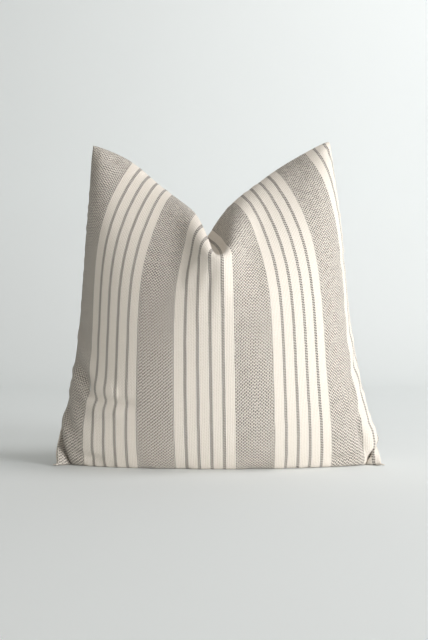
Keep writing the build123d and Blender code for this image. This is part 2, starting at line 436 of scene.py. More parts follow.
def striped_fabric(name="striped_fabric"):
    """Cream bands with four pinstripes, between bands of charcoal floats that zigzag over a cream ground."""
    m = Nodes(name)
    uv = m.node("ShaderNodeUVMap", uv_map="flat")
    sep = m.node("ShaderNodeSeparateXYZ")
    m.put(sep.inputs[0], uv.outputs[0])
    s = m.math("MULTIPLY", sep.outputs[0], 508.0)
    t = m.math("MULTIPLY", sep.outputs[1], 508.0)
    flat = m.node("ShaderNodeCombineXYZ")
    m.put(flat.inputs[0], s)
    m.put(flat.inputs[1], t)
    # threads wander a little
    wob = m.math("MULTIPLY", m.math("SUBTRACT", m.noise(flat.outputs[0], 0.05, 2.0), 0.5), 1.6)
    jig = m.math("MULTIPLY", m.math("SUBTRACT", m.noise(flat.outputs[0], 0.30, 2.0), 0.5), 1.1)
    s1 = m.math("ADD", s, wob)
    s2 = m.math("ADD", s1, m.math("MULTIPLY", jig, 0.8))
    t2 = m.math("ADD", t, jig)
    p = m.math("MODULO", m.math("ADD", s1, 73.0 + 135.0), 135.0)
    grey = m.math("MULTIPLY", m.smooth(p, 80.7, 81.3), m.math("SUBTRACT", 1.0, m.smooth(p, 134.5, 135.0)))
    grey = m.math("MAXIMUM", grey, m.math("LESS_THAN", s1, 40.0))
    # pinstripes: distance from the nearest centre line
    q = m.math("SUBTRACT", m.math("MODULO", m.math("ADD", p, 8.55 - 14.95 + 17.1), 17.1), 8.55)
    aq = m.math("ABSOLUTE", q)
    inpin = m.math("MULTIPLY", m.math("SUBTRACT", 1.0, m.smooth(aq, 1.9, 2.35)), m.math("SUBTRACT", 1.0, grey))
    inpin = m.math("MULTIPLY", inpin, m.math("MULTIPLY", m.math("GREATER_THAN", p, 5.0), m.math("LESS_THAN", p, 75.0)))
    # floats: dashes in columns, each column set off from the last, rising then falling
    col = m.math("DIVIDE", s2, COL)
    k = m.math("FLOOR", col)
    fx = m.math("SUBTRACT", col, k)
    ck = m.node("ShaderNodeTexWhiteNoise", noise_dimensions="1D")
    m.put(ck.inputs["W"], k)
    off = m.math("ADD", m.math("MULTIPLY", k, 0.5), m.math("MULTIPLY", ck.outputs["Value"], 0.18))
    ty = m.math("ADD", m.math("DIVIDE", t2, DASH), off)
    kt = m.math("FLOOR", ty)
    fy = m.math("SUBTRACT", ty, kt)
    cell = m.node("ShaderNodeCombineXYZ")
    m.put(cell.inputs[0], k)
    m.put(cell.inputs[1], kt)
    wn = m.node("ShaderNodeTexWhiteNoise", noise_dimensions="2D")
    m.put(wn.inputs["Vector"], cell.outputs[0])
    rnd = wn.outputs["Value"]
    dx = m.math("POWER", m.math("ABSOLUTE", m.math("DIVIDE", m.math("SUBTRACT", fx, 0.5), 0.47)), 2.6)
    dy = m.math("POWER", m.math("ABSOLUTE", m.math("DIVIDE", m.math("SUBTRACT", fy, 0.40), 0.33)), 2.6)
    dash = m.math("SUBTRACT", 1.0, m.smooth(m.math("ADD", dx, dy), 0.72, 1.12))
    grain = m.noise(flat.outputs[0], 1.3, 2.0, 0.7)
    coarse = m.noise(flat.outputs[0], 0.12, 2.0, 0.6)
    strength = m.mixf(m.smooth(rnd, 0.0, 0.4), 0.72, 1.0)
    strength = m.math("MULTIPLY", strength, m.mixf(m.smooth(grain, 0.30, 0.55), 0.75, 1.0))
    g_dark = m.math("MULTIPLY", grey, m.math("MULTIPLY_ADD", m.math("MULTIPLY", dash, strength), 0.90, 0.02))
    g_dark = m.math("MULTIPLY", g_dark, m.mixf(m.smooth(coarse, 0.3, 0.7), 0.88, 1.06))
    # pinstripes: two rails of floats that alternate, like the rungs of a ladder
    side = m.math("GREATER_THAN", q, 0.0)
    ph = m.math("ADD", m.math("DIVIDE", t2, 3.5), m.math("MULTIPLY", side, 0.34))
    rung = m.pulse(m.math("FRACT", ph), 0.12, 0.60, 0.06)
    rail = m.pulse(aq, 0.15, 2.1, 0.15)
    pin = m.math("MULTIPLY_ADD", m.math("MULTIPLY", rail, rung), 0.90, 0.20)
    pin_dark = m.math("MULTIPLY", inpin, m.math("MULTIPLY", pin, m.mixf(m.smooth(grain, 0.3, 0.6), 0.6, 1.1)))
    dark = m.math("MAXIMUM", pin_dark, g_dark, clamp=True)
    # cream ground: the same floats, cream on cream, with slubs
    slub_v = m.node("ShaderNodeCombineXYZ")
    m.put(slub_v.inputs[0], m.math("MULTIPLY", s, 0.10))
    m.put(slub_v.inputs[1], m.math("MULTIPLY", t, 0.9))
    slub = m.noise(slub_v.outputs[0], 1.0, 2.0, 0.6)
    tone = m.math("ADD", m.math("MULTIPLY", dash, 0.22), m.math("MULTIPLY", slub, 0.75), clamp=True)
    cream = m.mix(tone, CREAM_LOW, CREAM)
    fibre_v = m.node("ShaderNodeCombineXYZ")
    m.put(fibre_v.inputs[0], m.math("MULTIPLY", s2, 5.0))
    m.put(fibre_v.inputs[1], m.math("MULTIPLY", t2, 0.7))
    fibre = m.noise(fibre_v.outputs[0], 1.0, 2.0, 0.6)
    dk = m.mix(m.smooth(fibre, 0.3, 0.7), DARK_LOW, DARK)
    cream = m.mix(m.math("MULTIPLY", m.smooth(fibre, 0.45, 0.75), 0.35), cream, CREAM_LOW)
    color = m.mix(dark, cream, dk)
    # relief
    round_x = m.math("SINE", m.math("MULTIPLY", fx, math.pi))
    round_y = m.math("SINE", m.math("MULTIPLY", fy, math.pi))
    lift = m.math("MULTIPLY", round_x, m.math("MULTIPLY_ADD", round_y, 0.6, 0.4))
    lift = m.math("ADD", lift, m.math("MULTIPLY", inpin, 0.3))
    nrm = m.bump(lift, 0.85, 0.0006)
    fuzz = m.math("ADD", m.noise(flat.outputs[0], 2.6, 3.0, 0.7), m.math("MULTIPLY", fibre, 0.8))
    nrm = m.bump(fuzz, 0.3, 0.0003, nrm)
    m.bsdf(color, 0.9, nrm, Sheen_Weight=0.12, Sheen_Roughness=0.5, Specular_IOR_Level=0.2)
    return m.mat


def plain_cloth(name, hi, lo, pitch=0.6, rough=0.85, depth=0.0002):
    """Plain weave for shells, tapes, labels and hidden pieces; the pattern follows object position."""
    m = Nodes(name)
    geo = m.node("ShaderNodeTexCoord")
    sep = m.node("ShaderNodeSeparateXYZ")
    m.put(sep.inputs[0], geo.outputs["Object"])
    x = m.math("MULTIPLY", m.math("ADD", sep.outputs[0], sep.outputs[1]), 1000.0 / pitch)
    z = m.math("MULTIPLY", m.math("ADD", sep.outputs[2], m.math("MULTIPLY", sep.outputs[1], 0.5)), 1000.0 / pitch)
    a = m.math("PINGPONG", x, 1.0)
    b = m.math("PINGPONG", z, 1.0)
    w = m.math("MULTIPLY", m.math("ADD", a, b), 0.5)
    n = m.noise(geo.outputs["Object"], 60.0, 3.0, 0.6)
    color = m.mix(m.math("MULTIPLY_ADD", w, 0.4, m.math("MULTIPLY", n, 0.6)), lo, hi)
    m.bsdf(color, rough, m.bump(w, 0.4, depth), Sheen_Weight=0.1, Specular_IOR_Level=0.3)
    return m.mat


def solid_surface(name, color, rough, metal=0.0, speck=0.06, scale=900.0, **more):
    """Plastic or metal with a faint unevenness in colour and gloss."""
    m = Nodes(name)
    co = m.node("ShaderNodeTexCoord")
    n = m.noise(co.outputs["Object"], scale, 3.0, 0.6)
    dark = tuple(c * (1 - 3 * speck) for c in color[:3]) + (1.0,)
    col = m.mix(n, dark, color)
    r = m.math("MULTIPLY_ADD", n, 0.12, rough - 0.06)
    m.bsdf(col, r, m.bump(n, 0.08, 0.0001), Metallic=metal, **more)
    return m.mat


# ---------------------------------------------------------------- meshes
def mesh_object(name, verts, faces, mat, smooth=True, uv=None):
    me = bpy.data.meshes.new(name)
    me.from_pydata([tuple(v) for v in verts], [], [tuple(f) for f in faces])
    me.update()
    if smooth:
        me.shade_smooth()
    if uv is not None:
        layer = me.uv_layers.new(name="flat")
        idx = np.empty(len(me.loops), dtype=np.int32)
        me.loops.foreach_get("vertex_index", idx)
        layer.data.foreach_set("uv", np.asarray(uv, dtype=np.float32)[idx].ravel())
    me.materials.append(mat)
    ob = bpy.data.objects.new(name, me)
    bpy.context.scene.collection.objects.link(ob)
    return ob


def unit(v):
    return v / np.maximum(np.linalg.norm(v, axis=-1, keepdims=True), 1e-12)


def grid_faces(m, base=0, flip=False):
    i, j = np.meshgrid(np.arange(m - 1), np.arange(m - 1), indexing="ij")
    a = (i * m + j).ravel() + base
    b = ((i + 1) * m + j).ravel() + base
    c = ((i + 1) * m + j + 1).ravel() + base
    d = (i * m + j + 1).ravel() + base
    f = np.stack([a, b, c, d], 1)
    return f[:, ::-1] if flip else f


def border_loop(m):
    loop = [i * m for i in range(m)] + [(m - 1) * m + j for j in range(1, m)]
    loop += [i * m + m - 1 for i in range(m - 2, -1, -1)] + [j for j in range(m - 2, 0, -1)]
    return loop


def panel(name, inner, outer, uv, mat, back):
    """A closed sheet between an inner and an outer grid (mm)."""
    m = inner.shape[0]
    verts = np.concatenate([outer.reshape(-1, 3), inner.reshape(-1, 3)]) / 1000.0
    faces = list(map(tuple, grid_faces(m, 0, back))) + list(map(tuple, grid_faces(m, m * m, not back)))
    loop = border_loop(m)
    for k in range(len(loop)):
        a, b = loop[k], loop[(k + 1) % len(loop)]
        f = (b, a, a + m * m, b + m * m)
        faces.append(f[::-1] if back else f)
    return mesh_object(name, verts, faces, mat, uv=np.concatenate([uv, uv]))


# ---------------------------------------------------------------- building small pieces (mm)
class Soup:
    """Many closed little solids gathered into one piece."""

    def __init__(self):
        self.v, self.f, self.n = [], [], 0

    def add(self, verts, faces):
        self.f += [tuple(i + self.n for i in f) for f in faces]
        self.v.append(np.asarray(verts, float).reshape(-1, 3))
        self.n += len(self.v[-1])
        return self

    def loft(self, rings):
        rings = np.asarray(rings, float)
        k, p = rings.shape[:2]
        faces = []
        for a in range(k - 1):
            for b in range(p):
                c = (b + 1) % p
                faces.append((a * p + b, a * p + c, (a + 1) * p + c, (a + 1) * p + b))
        faces.append(tuple(range(p - 1, -1, -1)))
        faces.append(tuple((k - 1) * p + b for b in range(p)))
        return self.add(rings.reshape(-1, 3), faces)

    def tube(self, pts, r, sides=8, flat=1.0, up=(0.0, 0.0, 1.0)):
        """A round (or flattened) thread along points; r is a radius or one per point."""
        pts = np.asarray(pts, float)
        r = np.broadcast_to(np.asarray(r, float), (len(pts),))
        t = unit(np.gradient(pts, axis=0))
        n = np.cross(t[0], np.asarray(up, float))
        if np.linalg.norm(n) < 1e-6:
            n = np.cross(t[0], np.array([1.0, 0.0, 0.0]))
        n = unit(n)
        ang = np.arange(sides) * 2 * math.pi / sides
        rings = []
        for k in range(len(pts)):
            n = unit(n - t[k] * np.dot(n, t[k]))
            b = np.cross(t[k], n)
            rings.append(pts[k] + r[k] * (np.cos(ang)[:, None] * n + flat * np.sin(ang)[:, None] * b))
        return self.loft(rings)

    def plate(self, outline, z0, z1, bevel=0.2):
        """A flat solid with rounded edges over a closed outline in x and y."""
        o = np.asarray(outline, float)
        c = o.mean(0)
        prv, nxt = np.roll(o, 1, 0), np.roll(o, -1, 0)
        tang = unit(nxt - prv)
        out = np.stack([tang[:, 1], -tang[:, 0]], 1)
        if ((o - c) * out).sum() < 0:
            out = -out
        rings = []
        for k, a in enumerate((0, 30, 60, 90)):
            a = math.radians(a)
            rings.append((bevel * (1 - math.sin(a)), z0 + bevel * (1 - math.cos(a))))
        for k, a in enumerate((90, 60, 30, 0)):
            a = math.radians(a)
            rings.append((bevel * (1 - math.sin(a)), z1 - bevel * (1 - math.cos(a))))
        return self.loft([np.column_stack([o - out * d, np.full(len(o), z)]) for d, z in rings])

    def make(self, name, mat, body, slot, *nodes):
        ob = mesh_object(name, np.concatenate(self.v) / 1000.0, self.f, mat)
        bm = bmesh.new()
        bm.from_mesh(ob.data)
        bmesh.ops.recalc_face_normals(bm, faces=bm.faces)
        bm.to_mesh(ob.data)
        bm.free()
        ob.data.shade_smooth()
        return finish_piece(ob, body, slot, *nodes)


def finish_piece(ob, body, slot, *nodes):
    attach(ob, body)
    if nodes:
        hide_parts(*nodes)
    return ob


def rounded(x0, x1, y0, y1, r, k=5):
    """A rectangle with rounded corners, counter-clockwise."""
    pts = []
    for cx, cy, a0 in ((x1 - r, y1 - r, 0), (x0 + r, y1 - r, 90), (x0 + r, y0 + r, 180), (x1 - r, y0 + r, 270)):
        for a in np.linspace(a0, a0 + 90, k):
            pts.append((cx + r * math.cos(math.radians(a)), cy + r * math.sin(math.radians(a))))
    return np.array(pts)


def cutout(name, loops, z0, z1, bevel, mat):
    """A flat plate with holes and rounded edges; loops in mm, the first is the outline."""
    cu = bpy.data.curves.new(name + "_outline", "CURVE")
    cu.dimensions = "2D"
    cu.fill_mode = "BOTH"
    cu.extrude = (z1 - z0) / 2000 - bevel / 1000
    cu.bevel_depth = bevel / 1000
    cu.bevel_resolution = 2
    cu.offset = -bevel / 1000
    for loop in loops:
        sp = cu.splines.new("POLY")
        sp.points.add(len(loop) - 1)
        for p, (x, y) in zip(sp.points, loop):
            p.co = (x / 1000, y / 1000, 0, 1)
        sp.use_cyclic_u = True
    tmp = bpy.data.objects.new(name + "_outline", cu)
    bpy.context.scene.collection.objects.link(tmp)
    dg = bpy.context.evaluated_depsgraph_get()
    me = bpy.data.meshes.new_from_object(tmp.evaluated_get(dg))
    bm = bmesh.new()
    bm.from_mesh(me)
    bmesh.ops.remove_doubles(bm, verts=bm.verts, dist=2e-6)
    for v in bm.verts:
        v.co.z += (z0 + z1) / 2000
    bmesh.ops.recalc_face_normals(bm, faces=bm.faces)
    bm.to_mesh(me)
    bm.free()
    bpy.data.objects.remove(tmp)
    bpy.data.curves.remove(cu)
    me.materials.clear()
    me.materials.append(mat)
    ob = bpy.data.objects.new(name, me)
    bpy.context.scene.collection.objects.link(ob)
    return ob


# ---------------------------------------------------------------- the cover
FINE = 216
Q = upsample(SIM, FINE)
M = FINE + 1
aa = np.linspace(0, 1, M)
uu, vv = np.meshgrid(aa, aa, indexing="ij")
S, T = uu * FLAT, vv * FLAT
opening = np.clip((0.875 - np.abs(2 * uu - 1)) / 0.03, 0, 1)
edge_d = np.minimum(np.minimum(S, FLAT - S), np.minimum(FLAT - T, T + 30 * opening))


def wave(x, phase, lengths=(17.0, 11.3, 27.0), amps=(0.55, 0.25, 0.5)):
    return sum(a * np.sin(2 * math.pi * x / l + phase * (k + 1)) for k, (l, a) in enumerate(zip(lengths, amps)))


def groove(px, pz, path, depth, width, p):
    """Depth of a soft crease along a path of points (x, z) seen from the front."""
    d2 = np.full(p.shape[:2], 1e9)
    fall = np.ones(p.shape[:2])
    path = np.asarray(path, float)
    seg = np.linalg.norm(np.diff(path, axis=0), axis=1)
    total = seg.sum()
    run = 0.0
    for a, b, l in zip(path[:-1], path[1:], seg):
        d = (b - a) / l
        w = np.stack([px - a[0], pz - a[1]], -1)
        t = np.clip((w * d).sum(-1) / l, 0, 1)
        dist = ((w - t[..., None] * (b - a)) ** 2).sum(-1)
        near = dist < d2
        d2 = np.where(near, dist, d2)
        f = (run + t * l) / total
        fall = np.where(near, np.clip(np.minimum(f, 1 - f) * 4, 0, 1) ** 0.6, fall)
        run += l
    return depth * fall * np.exp(-d2 / width**2)


def relief(side, p):
    """Small folds and puckers of a stuffed cotton cover, along the outward normal (mm)."""
    ramp = np.clip(edge_d / 9.0, 0, 1) ** 2 * (3 - 2 * np.clip(edge_d / 9.0, 0, 1))
    out = np.zeros(p.shape[:2])
    ph = 0.7 + side
    pull = lambda d: np.clip(d / 9.0, 0, 1) * np.exp(-np.clip(d - 9.0, 0, None) / 16.0)
    out += 0.7 * wave(T, ph) * pull(S)
    out += 0.7 * wave(T, ph + 1.1) * pull(FLAT - S)
    out += 0.6 * wave(S, ph + 2.3) * pull(FLAT - T)
    out += 0.35 * np.sin(S / 37.0 + T / 53.0 + side) * np.sin(T / 41.0 - S / 71.0 + 2 * side)
    if side == 0:
        x, z = p[..., 0], p[..., 2]
        for path, depth, width in CREASES:
            out += groove(x, z, path, depth, width, p)
    return out * ramp


CREASES = (
    # (points x, z seen from the front), height of the fold (negative is a dent), width
    (((-188, 99), (-166, 94), (-138, 91), (-108, 90)), -3.6, 6.5),
    (((-197, 138), (-187, 123), (-183, 109), (-188, 97)), -4.2, 5.5),
    (((-203, 144), (-206, 120), (-208, 94)), 3.2, 8.0),
    (((195, 66), (199, 42), (205, 23), (213, 8)), -4.8, 5.0),
    (((209, 58), (216, 36), (223, 16)), 3.0, 7.0),
    (((-180, 114), (-162, 110), (-138, 106)), 2.4, 9.0),
    (((-184, 79), (-158, 77), (-130, 78)), 2.0, 8.0),
    (((-187, 451), (-170, 446), (-150, 441)), -2.6, 5.0),
    (((-184, 438), (-166, 432), (-150, 428)), 1.6, 7.0),
    (((-214, 26), (-196, 16), (-178, 13), (-160, 12)), -3.0, 6.0),
    (((150, 13), (176, 12), (196, 18)), -3.0, 5.0),
    (((204, 84), (190, 70), (182, 52)), -2.6, 7.0),
    (((-4, 286), (-12, 262), (-16, 236), (-14, 205)), -2.2, 7.0),
    (((-26, 296), (-38, 274), (-44, 246)), 2.0, 8.0),
    (((0, 288), (6, 262), (8, 236)), 1.8, 7.0),
    (((-200, 200), (-186, 196), (-170, 190)), -1.2, 9.0),
    (((188, 300), (176, 292), (162, 288)), -1.2, 9.0),
    (((186, 226), (172, 218)), -1.0, 9.0),
)

# the opening keeps its width where the slider and its tab pass
ax = np.abs(Q[..., 0])
room = np.interp(ax, [0, 198, 204, 212, 400], [6.5, 6.5, 4.4, -40, -400]) + 0.0
low = np.clip((13.0 - Q[..., 2]) / 3.0, 0, 1)
front_y = np.minimum(Q[0, ..., 1], BASE_Y - room[0])
back_y = np.maximum(Q[1, ..., 1], BASE_Y + room[1])
Q[0, ..., 1] += (front_y - Q[0, ..., 1]) * low[0]
Q[1, ..., 1] += (back_y - Q[1, ..., 1]) * low[1]

sheets = []
for side, sgn in ((0, 1.0), (1, -1.0)):
    n = unit(grid_normals(Q[side])) * sgn
    p = Q[side] + n * relief(side, Q[side])[..., None]
    n = unit(grid_normals(p)) * sgn
    q = p + n * 1.1
    p[..., 2] = np.maximum(p[..., 2], 1.1)
    q[..., 2] = np.maximum(q[..., 2], 0.12)
    for g in (p, q):
        r = np.interp(np.abs(g[..., 0]), [0, 198, 204, 212, 400], [6.1, 6.1, 4.1, -40, -400])
        lim = np.minimum(g[..., 1], BASE_Y - r) if side == 0 else np.maximum(g[..., 1], BASE_Y + r)
        g[..., 1] = np.where(g[..., 2] < 10.0, lim, g[..., 1])
    sheets.append((p, q))

# where the bands lie on the cloth, with the cutting's small error at the dent
su = S + 11.0 * np.exp(-(((S - 178) / 30.0) ** 2)) * np.exp(-(((T - BAND_T) / 60.0) ** 2))
su = su - 2.5 * np.exp(-(((S - 262) / 25.0) ** 2)) * np.exp(-(((T - BAND_T) / 60.0) ** 2))
uv_front = np.stack([(su / FLAT).ravel(), vv.ravel()], 1)
uv_back = np.stack([uu.ravel(), vv.ravel()], 1)

fabric = striped_fabric()
front = panel("front_cloth", sheets[0][0], sheets[0][1], uv_front, fabric, False)
back = panel("back_cloth", sheets[1][0], sheets[1][1], uv_back, fabric, True)
finish_piece(front, "cover", "striped_fabric", "cover_front_panel")
finish_piece(back, "cover", "striped_fabric", "cover_back_panel")

# hems: the cloth turns up at the opening and folds outwards over the zipper tape's edge
HX = 196.0


def hem(name, s, mat):
    c = [(12.0, 0.70), (9.0, 0.70), (7.0, 0.80), (6.35, 1.6), (6.25, 3.2), (6.25, 5.2), (6.55, 6.5), (7.6, 7.05), (10.0, 7.1), (12.5, 7.1), (14.6, 7.1), (15.3, 6.5), (14.6, 5.95)]
    c = along([(0.0, y, z) for y, z in c], np.linspace(0, 1, 26))[:, 1:]
    d = unit(np.gradient(c, axis=0))
    nn = np.stack([-d[:, 1], d[:, 0]], 1)
    ring = np.concatenate([c + nn * 0.45, (c - nn * 0.45)[::-1]])
    xs = np.linspace(-HX, HX, 200)
    rings = []
    for x in xs:
        k = 0.12 * math.sin(x / 4.1) + 0.15 * math.sin(x / 9.7 + s)
        end = min(1.0, (HX - abs(x)) / 6.0 + 0.35)
        rings.append(np.column_stack([np.full(len(ring), x), BASE_Y + s * (ring[:, 0] + k * (ring[:, 1] > 5)), ring[:, 1] * (0.25 + 0.75 * end) if end < 1 else ring[:, 1]]))
    rings = np.array(rings)
    k, p = rings.shape[:2]
    soup = Soup().loft(rings)
    uvx = (rings[..., 0] / 466.0 + 0.5).ravel()
    uvt = (np.broadcast_to(np.concatenate([np.linspace(0, 26, 26), np.linspace(26, 0, 26)]) / FLAT, (k, p))).ravel()
    ob = mesh_object(name, np.concatenate(soup.v) / 1000, soup.f, mat, uv=np.stack([uvx, uvt], 1))
    bm = bmesh.new()
    bm.from_mesh(ob.data)
    bmesh.ops.recalc_face_normals(bm, faces=bm.faces)
    bm.to_mesh(ob.data)
    bm.free()
    return finish_piece(ob, "cover", "striped_fabric")


hem("front_hem", -1.0, fabric)
hem("back_hem", 1.0, fabric)

# the stitch line of the seam allowance inside, and its overlocked edge
thread = plain_cloth("cream_thread", lin(236, 228, 212), lin(206, 194, 172), 0.35, 0.7, 0.0001)
lock = plain_cloth("overlock_thread", lin(240, 236, 226), lin(214, 206, 190), 0.35, 0.75, 0.0001)


def seam_path(d):
    """Points d mm inside the three closed seams, midway between the panels, from the bottom left round to the bottom right."""
    k = d / FLAT * FINE
    lo = int(round(0.03 * FINE))
    mid = 0.5 * (Q[0] + Q[1])
    side = lambda i, j: mid[i, j]
    kk = int(round(k))
    pts = [mid[kk, j] for j in range(lo, M - kk)] + [mid[i, M - 1 - kk] for i in range(kk + 1, M - kk)]
    pts += [mid[M - 1 - kk, j] for j in range(M - 2 - kk, lo - 1, -1)]
    pts = np.array(pts)
    pts[:, 2] = np.maximum(pts[:, 2], 2.6)
    d = np.concatenate([[0], np.cumsum(np.linalg.norm(np.diff(pts, axis=0), axis=1))])
    return pts, d


def walk(pts, d, step):
    f = np.arange(0, d[-1], step)
    return np.stack([np.interp(f, d, pts[:, k]) for k in range(3)], -1), f


pts, d = seam_path(4.0)
run_, f = walk(pts, d, 1.0)
soup = Soup()
for a in range(0, len(run_) - 4, 3):
    seg = run_[a : a + 3]
    seg = np.array([seg[0] * 0.9 + seg[1] * 0.1, seg[0] * 0.5 + seg[1] * 0.5, seg[1], seg[1] * 0.5 + seg[2] * 0.5, seg[1] * 0.1 + seg[2] * 0.9])
    soup.tube(seg, [0.12, 0.26, 0.3, 0.26, 0.12], 6)
soup.make("cover_seam_stitches", thread, "cover", "cream_thread", "cover_seam_thread")

pts, d = seam_path(9.0)
inner, d2 = seam_path(12.0)
base_, f = walk(pts, d, 1.1)
inn = np.stack([np.interp(f / d[-1] * d2[-1], d2, inner[:, k]) for k in range(3)], -1)
zig = []
for a in range(len(base_)):
    w = (0.15, 0.85, 0.5, 0.9)[a % 4]
    zig.append(base_[a] * (1 - w) + inn[a] * w + np.array([0, (0.45, 0.0, -0.45, 0.0)[a % 4], 0]))
Soup().tube(np.array(zig), 0.22, 6).make("overlocked_edge", lock, "cover", "overlock_thread", "seam_overlock_thread")

# ---------------------------------------------------------------- the zipper
tape_mat = plain_cloth("zipper_tape", lin(236, 228, 214), lin(206, 195, 176), 0.7, 0.85, 0.00015)
coil_mat = solid_surface("zipper_coil", lin(238, 230, 214), 0.42, 0.0, 0.02, 700.0, Specular_IOR_Level=0.5)
slider_mat = solid_surface("slider_enamel", lin(232, 224, 208), 0.34, 0.0, 0.02, 500.0, Coat_Weight=0.25, Coat_Roughness=0.2)
stop_mat = solid_surface("stop_metal", lin(196, 196, 194), 0.36, 1.0, 0.03, 800.0)
TX = 200.0
for name, s in (("front", -1.0), ("back", 1.0)):
    xs = np.linspace(-TX, TX, 240)
    prof = [(0.62, 8.05), (0.62, 8.5), (1.2, 8.72), (3.4, 8.72), (3.8, 8.56), (13.4, 8.56), (13.8, 8.68), (14.3, 8.5), (14.3, 8.1), (13.4, 8.02), (2.6, 8.02)]
    prof = np.array(prof)
    rings = [np.column_stack([np.full(len(prof), x), BASE_Y + s * prof[:, 0], prof[:, 1] + 0.06 * math.sin(x / 5.3 + s)]) for x in xs]
    Soup().loft(rings).make("tape_" + name, tape_mat, "cover", "zipper_tape", "zipper_tape_" + name)
    # coil: one monofilament wound into teeth
    pitch = 1.35
    turns = int(380 / pitch)
    per = 10
    k = np.arange(turns * per + 1)
    ang = 2 * math.pi * k / per + (0 if s < 0 else math.pi)
    x = -190 + k * pitch / per
    y = 1.35 - 1.32 * np.cos(ang)
    z = 7.0 + 0.72 * np.sin(ang)
    y = np.where(y < 0.5, y * 0.9 + 0.02, y)
    Soup().tube(np.column_stack([x, BASE_Y + s * y, z]), 0.27, 6).make("coil_" + name, coil_mat, "cover", "zipper_coil", "zipper_coil_" + name)
    # lockstitches that hold tape and hem, both rows
    soup = Soup()
    for a in range(-54, 54):
        x0 = a * 3.6 + 0.4
        t = np.linspace(0, 1, 6)
        soup.tube(np.column_stack([x0 + 2.9 * t, np.full(6, BASE_Y + s * 11.2), 8.5 + 0.3 * np.sin(math.pi * t)]), [0.12, 0.24, 0.26, 0.26, 0.24, 0.12], 6)
        soup.tube(np.column_stack([x0 + 2.9 * t, np.full(6, BASE_Y + s * 11.2), 6.62 - 0.16 * np.sin(math.pi * t)]), [0.12, 0.22, 0.24, 0.24, 0.22, 0.12], 6)
    soup.make("stitching_" + name, thread, "cover", "cream_thread", "zipper_stitching_" + name)

# stops
soup = Soup()
for x0, x1 in ((-193.2, -190.0),):
    soup.plate(rounded(x0, x1, BASE_Y - 2.9, BASE_Y + 2.9, 0.7), 5.5, 8.0, 0.35)
soup.make("bottom_stop", stop_mat, "cover", "stop_metal", "zipper_bottom_stop")
soup = Soup()
for s in (-1.0, 1.0):
    y0, y1 = sorted((BASE_Y + s * 0.5, BASE_Y + s * 2.7))
    soup.plate(rounded(190.0, 193.0, y0, y1, 0.5), 5.6, 8.0, 0.3)
soup.make("top_stops", stop_mat, "cover", "stop_metal", "zipper_top_stops")

# slider: two shoulders plates, side flanges, the wedge between the coils, and the arch for the tab
PX, PY, PZ = 181.269, BASE_Y - 0.01, 3.2
SX0 = SLIDER_BOX[0][0] * 1000
SX1 = SLIDER_BOX[1][0] * 1000
half = [(-0.0, 2.5), (0.03, 3.0), (0.10, 3.35), (0.40, 3.55), (0.62, 4.0), (0.80, 4.15), (0.92, 3.8), (0.985, 3.0), (1.0, 2.2)]
line = along([(a * (SX1 - SX0), b, 0) for a, b in half], np.linspace(0, 1, 22))[:, :2]
outline = np.concatenate([line, line[::-1] * [1, -1]]) + [SX0, PY]
soup = Soup()
soup.plate(outline, 4.7, 5.7, 0.32)
soup.plate(outline, 8.9, 9.7, 0.28)
for s in (-1, 1):
    a, b = sorted((PY + s * 2.87, PY + s * 3.3))
    soup.plate(rounded(SX0 + 0.6, SX1 - 4.2, a, b, 0.2), 5.6, 7.6, 0.12)
soup.plate(rounded(SX1 - 4.9, SX1 - 1.5, PY - 0.3, PY + 0.3, 0.28), 5.6, 9.0, 0.02)
arch = along([(-2.5, 0, 4.9), (-2.5, 0, 3.6), (-2.3, 0, 2.4), (-1.5, 0, 1.78), (0, 0, 1.7), (1.5, 0, 1.78), (2.3, 0, 2.4), (2.5, 0, 3.6), (2.5, 0, 4.9)], np.linspace(0, 1, 30))
soup.tube(arch + [PX, PY, 0], 0.40, 12, 2.1, up=(0.0, 1.0, 0.0))
soup.make("slider", slider_mat, "slider", "slider_metal", "zipper_slider")

# pull tab with its eye and window
tb = lambda pts: np.array(pts) + [PX, PY]
outer = tb(along([(TAB_X1, -1.5, 0), (TAB_X1 - 0.1, 1.5, 0)], [0, 1])[:, :2])
w = []
for x, y in ((TAB_X1, 0.9), (TAB_X1 - 0.35, 1.8), (-2.0, 2.15), (-5.5, 2.2), (-8.0, 2.6), (-11.0, 2.95), (-18.0, 3.0), (TAB_X0 + 1.4, 2.6), (TAB_X0 + 0.3, 1.7), (TAB_X0, 0.6)):
    w.append((x, y, 0))
w = along(w, np.linspace(0, 1, 40))[:, :2]
outer = tb(np.concatenate([w, w[::-1] * [1, -1]]))
eye = tb(rounded(-6.5, -0.5, -1.3, 1.3, 0.6, 5))
win = tb(rounded(-17.5, -9.5, -1.5, 1.5, 1.2, 6))
tab = cutout("pull_tab", [outer, eye, win], PZ - 0.45, PZ + 0.45, 0.16, slider_mat)
finish_piece(tab, "pull", "slider_metal", "zipper_pull_tab")

# ---------------------------------------------------------------- labels
satin = plain_cloth("label_satin", lin(246, 245, 240), lin(226, 224, 216), 0.3, 0.45, 0.00005)


